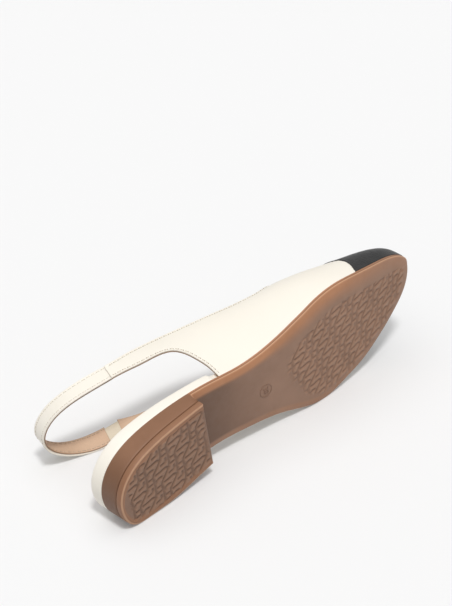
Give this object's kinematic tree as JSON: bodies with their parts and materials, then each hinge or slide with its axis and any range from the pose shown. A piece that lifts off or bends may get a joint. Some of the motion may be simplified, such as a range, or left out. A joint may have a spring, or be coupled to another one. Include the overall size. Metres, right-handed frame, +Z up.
{
  "type": "sling back flat shoe",
  "caption": "Women's pointed flat shoe with an open heel and a strap round the back, lying on its outer side.",
  "frame": {"origin": "middle of the bounding box at the floor, with the shoe lying on its outer side", "axes": "+X towards the toe, +Y from the sole towards the top line, +Z up, which is the shoe's inner side"},
  "size_m": [0.2598, 0.0884, 0.0805],
  "materials": {
    "outsole": "matt moulded brown rubber",
    "top_lift": "matt moulded brown rubber",
    "rand": "smooth cream leather",
    "lining": "matt tan lining leather",
    "upper": "smooth cream leather",
    "toe_cap": "black leather, soft shine",
    "strap": "smooth cream leather",
    "elastic": "woven cream elastic"
  },
  "bodies": {
    "root": {"outsole": "outsole", "top_lift": "top_lift", "footbed": "rand", "sock_lining": "lining", "upper": "upper", "toe_cap": "toe_cap", "sling_strap": "strap", "elastic": "elastic"}
  },
  "joints": []
}
